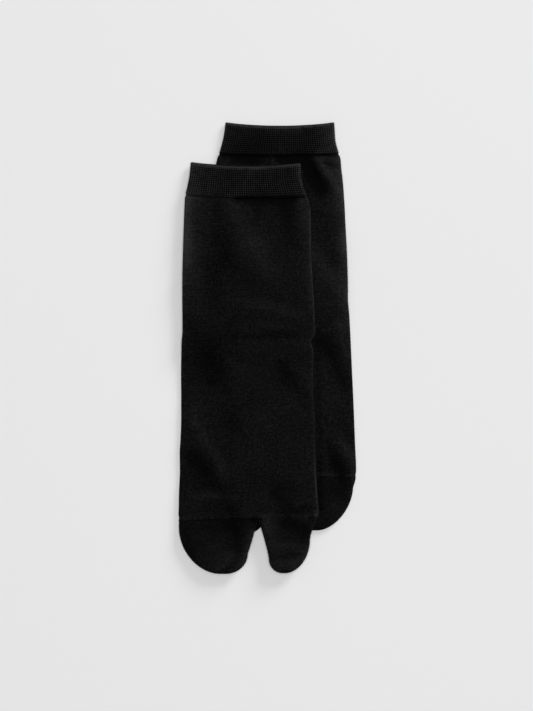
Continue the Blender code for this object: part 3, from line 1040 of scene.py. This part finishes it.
def ribbed_knit():
    """The same yarn in ribs, whose painted light and shade is stronger here and weaker there, with the slant
    of its twist.
    """
    finish = Finish("black_ribbed_knit", **CLOTH)
    rib, row = finish.knit_uv()
    lint = finish.noise(1.0, detail=3.0, roughness=0.6)
    mottle = finish.noise(8.0, detail=3.0, roughness=0.55)
    twist = ((row + (rib.fraction() - 0.5).size()).fraction() - 0.5).size()
    open_ribs = finish.noise(5.0, detail=2.0, roughness=0.6) * 2.2 + 1.0
    grain = finish.noise(3.0, detail=2.0, roughness=0.6)
    uneven = mixed(RIB_MIX, mottle=mottle, grain=grain, lint=lint, twist=twist)
    light = finish.of_mesh("painted_shading") * LEVEL * open_ribs + uneven
    finish.set("Base Color", finish.cloth_colour(light + RIB_LIGHT, PLAIN_DARK, PLAIN_PALE))
    finish.set("Roughness", 0.58 + mottle * 0.1 + lint * 0.08)
    bump = {"Height": mixed(RIB_BUMP, lint=lint, twist=twist), "Strength": 0.5, "Distance": 0.2 * MM}
    finish.set("Normal", finish.node("ShaderNodeBump", {}, bump))
    return finish.material


def make_sock(sock, plain, rib):
    """The five pieces of a sock: its cuff, its leg and foot, and its pockets for the toes and the heel."""
    cuff(sock, rib)
    leg_and_foot(sock, plain)
    root = sock.seam_down - TOE_ROOT_GAP
    pocket(sock, "toes", sock.toes, root, TOE_KIND, TOES_CUT, plain)
    pocket(sock, "big_toe", sock.big_toe, root, TOE_KIND, BIG_TOE_CUT, plain)
    pocket(sock, "heel", HEEL, HEEL_BASE, HEEL_KIND, HEEL_CUT, plain)


def floor_and_lights():
    """A plain pale floor, an even studio light that the camera sees as pale too, and two soft lamps."""
    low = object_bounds()[0][2]
    corners = [(x * FLOOR_HALF, y * FLOOR_HALF, low) for x, y in ((-1, -1), (1, -1), (1, 1), (-1, 1))]
    mesh = bpy.data.meshes.new("floor")
    mesh.from_pydata(corners, [], [(0, 1, 2, 3)])
    floor = bpy.data.objects.new("floor", mesh)
    bpy.context.scene.collection.objects.link(floor)
    pale = Finish("pale_floor", Roughness=0.95, Specular_IOR_Level=0.1)
    shade = pale.noise(700.0, detail=2.0)
    pale.set("Base Color", pale.blend(shade + 0.5, FLOOR_DARK, FLOOR_PALE))
    mesh.materials.append(pale.material)

    world = bpy.data.worlds.new("studio")
    bpy.context.scene.world = world
    world.use_nodes = True
    tree = world.node_tree
    back = tree.nodes["Background"]
    path = tree.nodes.new("ShaderNodeLightPath")
    mix = tree.nodes.new("ShaderNodeMix")
    mix.data_type = "FLOAT"
    tree.links.new(path.outputs["Is Camera Ray"], mix.inputs[0])
    mix.inputs[2].default_value = AMBIENT
    mix.inputs[3].default_value = FLOOR_LOOKS
    tree.links.new(mix.outputs[0], back.inputs["Strength"])
    back.inputs["Color"].default_value = (1, 1, 1, 1)

    lamp("ceiling", CEILING_POWER, CEILING_SIZE, WINDOW_AZIMUTH, 90.0)
    lamp("window", WINDOW_POWER, WINDOW_SIZE, WINDOW_AZIMUTH, WINDOW_ELEVATION)


def lamp(name, power, size, azimuth, elevation):
    """A round soft lamp that faces the origin. The azimuth is counted from +X towards +Y, in degrees."""
    light = bpy.data.lights.new(name, "AREA")
    light.shape = "DISK"
    light.size = size
    light.energy = power
    shade = bpy.data.objects.new(name, light)
    bpy.context.scene.collection.objects.link(shade)
    turn, rise = np.radians(azimuth), np.radians(elevation)
    direction = Vector((np.cos(rise) * np.cos(turn), np.cos(rise) * np.sin(turn), np.sin(rise)))
    shade.location = direction * LAMP_AWAY
    shade.rotation_euler = direction.to_track_quat("Z", "Y").to_euler()
    shade.visible_camera = False


def camera():
    """Straight above the pair. The sensor's longer side holds VIEW_HIGH of the floor."""
    middle = (Vector(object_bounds()[0]) + Vector(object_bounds()[1])) / 2
    lens = bpy.data.cameras.new("above")
    lens.sensor_width = SENSOR
    lens.lens = LENS
    lens.clip_end = 20.0
    eye = bpy.data.objects.new("above", lens)
    bpy.context.scene.collection.objects.link(eye)
    eye.location = (middle.x - VIEW_LEFT, middle.y - VIEW_BELOW, VIEW_HIGH * LENS / SENSOR)
    bpy.context.scene.camera = eye
    bpy.context.scene.view_settings.view_transform = "Standard"


def main():
    camera()
    floor_and_lights()
    plain, rib = plain_knit(), ribbed_knit()
    for sock in (LEFT, RIGHT):
        make_sock(sock, plain, rib)


main()
